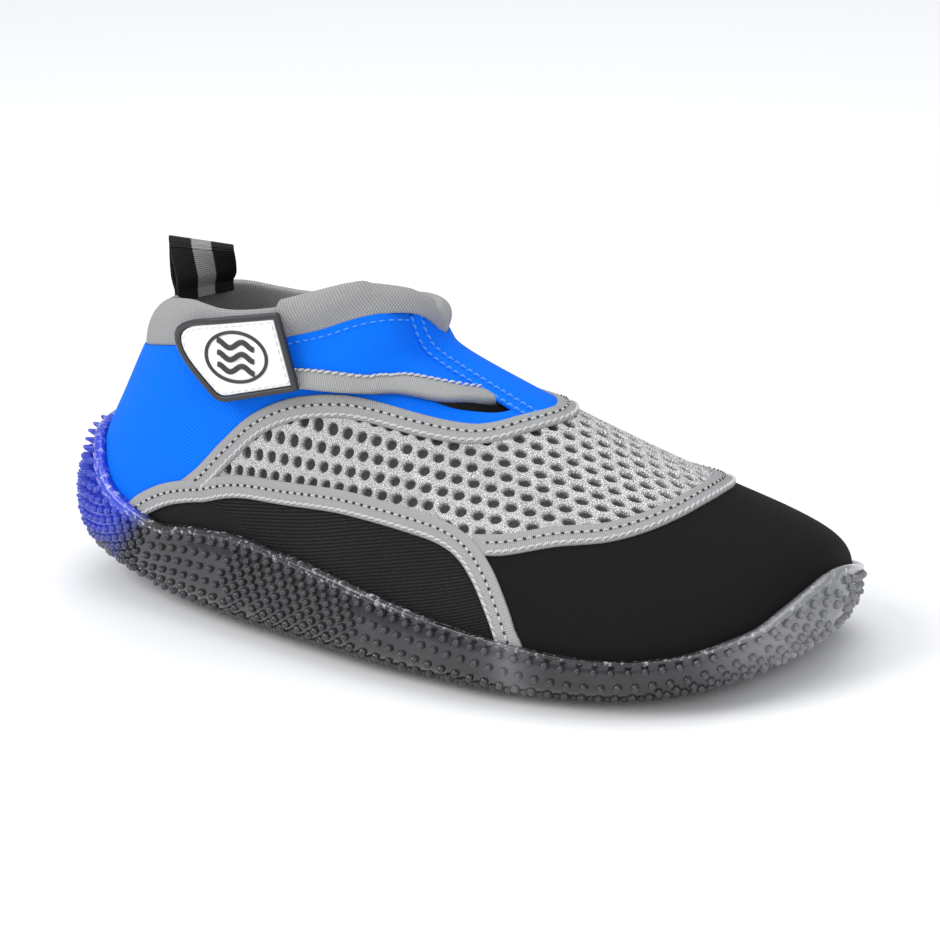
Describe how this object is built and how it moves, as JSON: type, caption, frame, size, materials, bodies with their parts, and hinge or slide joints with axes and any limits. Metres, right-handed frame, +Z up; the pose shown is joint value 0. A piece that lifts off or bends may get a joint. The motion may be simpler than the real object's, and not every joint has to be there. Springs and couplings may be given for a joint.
{
  "type": "water shoe",
  "caption": "Low-cut neoprene water shoe for the right foot with a strap flap, a hook-and-loop badge tab, a heel loop and a clear nubbed sole.",
  "frame": {"origin": "middle of the shoe's footprint, on the ground under the sole", "axes": "+X from heel to toe, -Y to the outer side of the foot, +Z up"},
  "size_m": [0.249, 0.1092, 0.1032],
  "materials": {
    "clear_sole": "clear smoky moulded rubber, glossy rim",
    "board": "pressed fibre board",
    "foam": "fabric-topped foam",
    "black_neoprene": "jersey-faced neoprene, black",
    "blue_neoprene": "jersey-faced neoprene, blue",
    "grey_neoprene": "rib-knit faced neoprene, grey",
    "grey_tape": "woven binding tape, grey",
    "air_mesh": "open knitted air mesh, light grey",
    "dark_net": "fine dark net",
    "white_rubber": "moulded soft rubber, white",
    "black_rubber": "moulded soft rubber, black",
    "hook_and_loop": "hook-and-loop fastener, blue",
    "webbing": "woven webbing, black with a grey stripe"
  },
  "bodies": {
    "shoe": {"outsole": "clear_sole", "lasting_board": "board", "insole": "foam", "toe_box": "black_neoprene", "mesh_panel": "air_mesh", "mesh_backing": "dark_net", "side_panel_outer": "black_neoprene", "side_panel_inner": "black_neoprene", "quarter_outer": "blue_neoprene", "quarter_inner": "blue_neoprene", "collar": "grey_neoprene", "mesh_tape": "grey_tape", "toe_tape": "grey_tape", "side_tape_outer": "grey_tape", "side_tape_inner": "grey_tape", "loop_patch": "hook_and_loop"},
    "flap": {"flap": "blue_neoprene", "flap_binding": "grey_tape", "flap_collar": "grey_neoprene"},
    "closure_tab": {"hook_patch": "hook_and_loop", "badge": "white_rubber", "badge_rim": "black_rubber", "emblem_ring": "black_rubber", "emblem_wave_1": "black_rubber", "emblem_wave_2": "black_rubber", "emblem_wave_3": "black_rubber"},
    "pull_loop": {"pull_loop": "webbing"}
  },
  "joints": [
    {"name": "flap_fold", "type": "hinge", "parent": "shoe", "child": "flap", "pos_m": [0.006, 0.0004, 0.081], "axis": [-0.7594, -0.0734, 0.6465], "range_deg": [0, 75]},
    {"name": "tab_peel", "type": "hinge", "parent": "flap", "child": "closure_tab", "pos_m": [-0.0319, -0.0281, 0.0839], "axis": [-0.3306, 0.097, 0.9388], "range_deg": [0, 60]},
    {"name": "loop_swing", "type": "hinge", "parent": "shoe", "child": "pull_loop", "pos_m": [-0.0882, 0.0056, 0.086], "axis": [0, 1, 0], "range_deg": [-45, 60], "stiffness_Nm_per_rad": 0.002}
  ]
}
